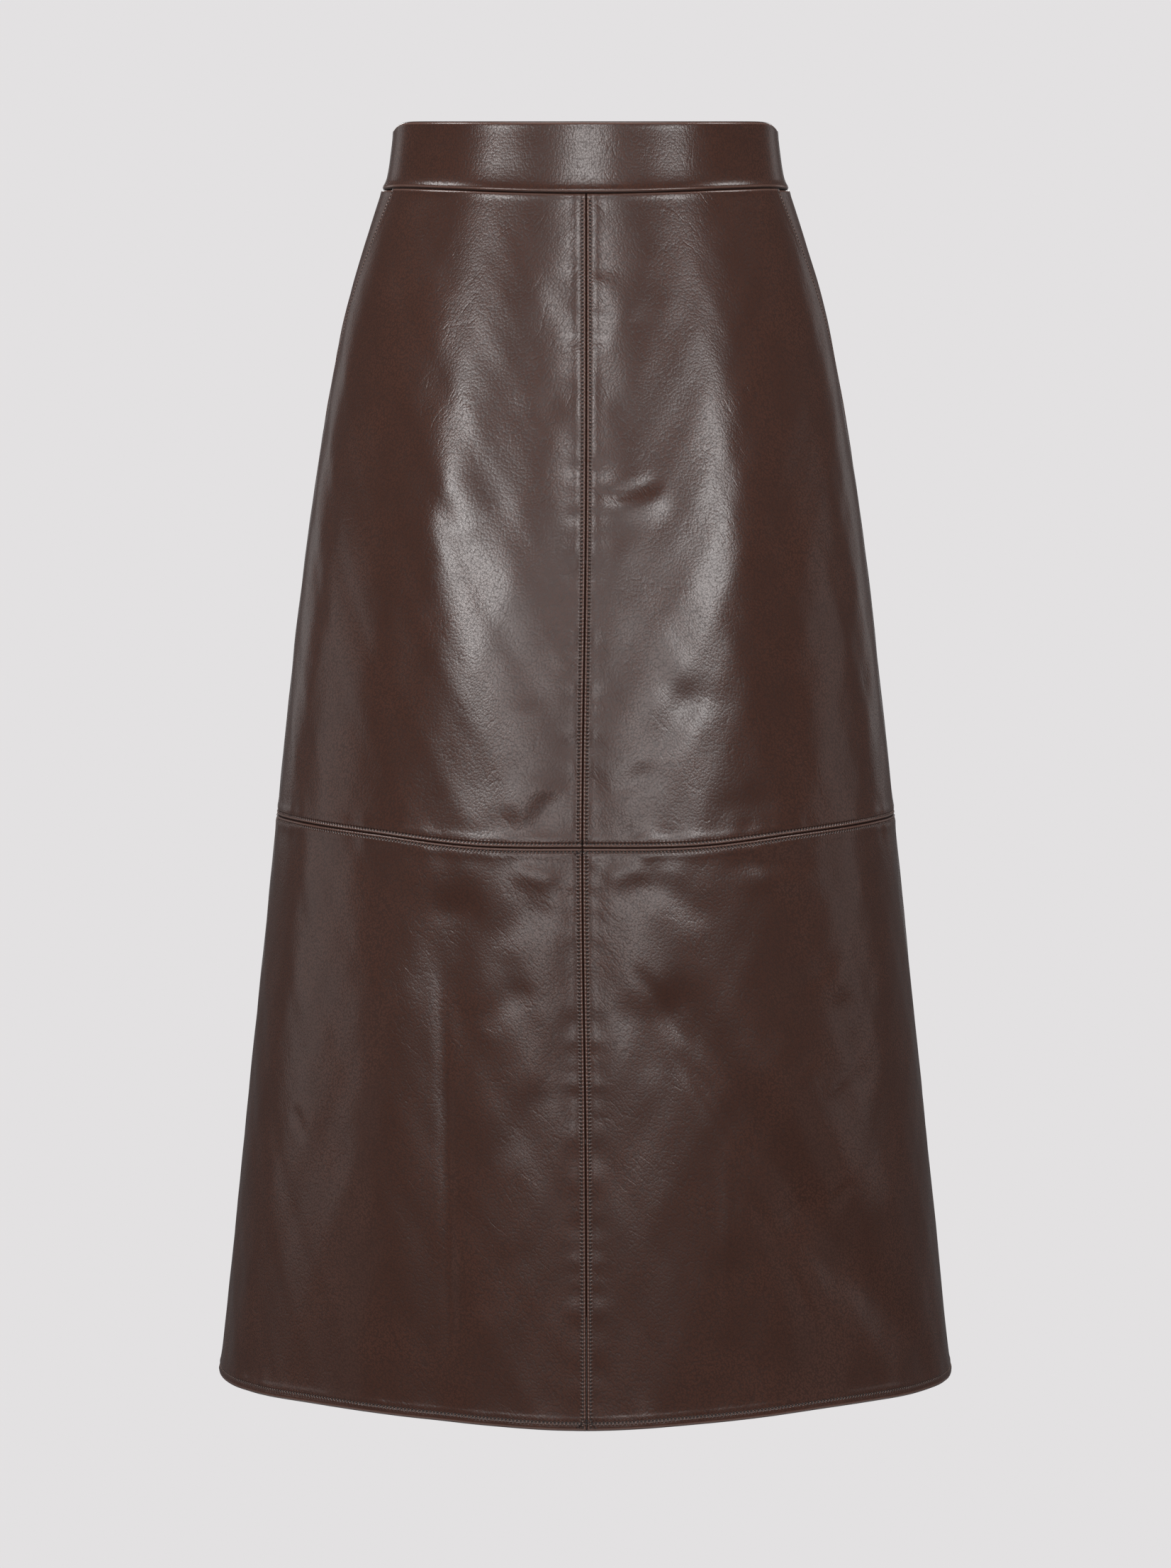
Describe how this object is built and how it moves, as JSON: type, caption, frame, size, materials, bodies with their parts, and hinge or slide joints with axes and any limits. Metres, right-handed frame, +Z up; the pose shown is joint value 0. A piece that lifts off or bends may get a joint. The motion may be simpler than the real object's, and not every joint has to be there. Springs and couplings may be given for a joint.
{
  "type": "leather skirt",
  "caption": "A-line midi skirt in dark brown leather, filled out as when worn, with a wide waistband, slanted pockets, a seam down the front and a level seam at the knee.",
  "frame": {"origin": "on the body's axis, half way up the waistband, where the wearer's waist holds the skirt", "axes": "+Z up, the front faces -Y, +X is the wearer's left"},
  "size_m": [0.4826, 0.3641, 0.8222],
  "materials": {
    "leather": "dark brown, fine pebble grain, half gloss",
    "thread": "twisted polyester topstitching thread, brown",
    "zip_tape": "woven polyester tape, dark brown",
    "zip_metal": "die-cast zinc, brown enamel"
  },
  "bodies": {
    "root": {"waistband_front": "leather", "waistband_back_left": "leather", "waistband_back_right": "leather", "front_upper_left": "leather", "front_upper_right": "leather", "hip_left": "leather", "hip_right": "leather", "back_upper_left": "leather", "back_upper_right": "leather", "front_lower_left": "leather", "front_lower_right": "leather", "back_lower_left": "leather", "back_lower_right": "leather", "zip_tape": "zip_tape", "zip_slider": "zip_metal"},
    "pull": {"zip_pull": "zip_metal"}
  },
  "joints": [
    {"name": "pull_swing", "type": "hinge", "parent": "root", "child": "pull", "pos_m": [0, 0.09353, 0.01531], "axis": [1, 0, 0], "range_deg": [0, 165]}
  ]
}
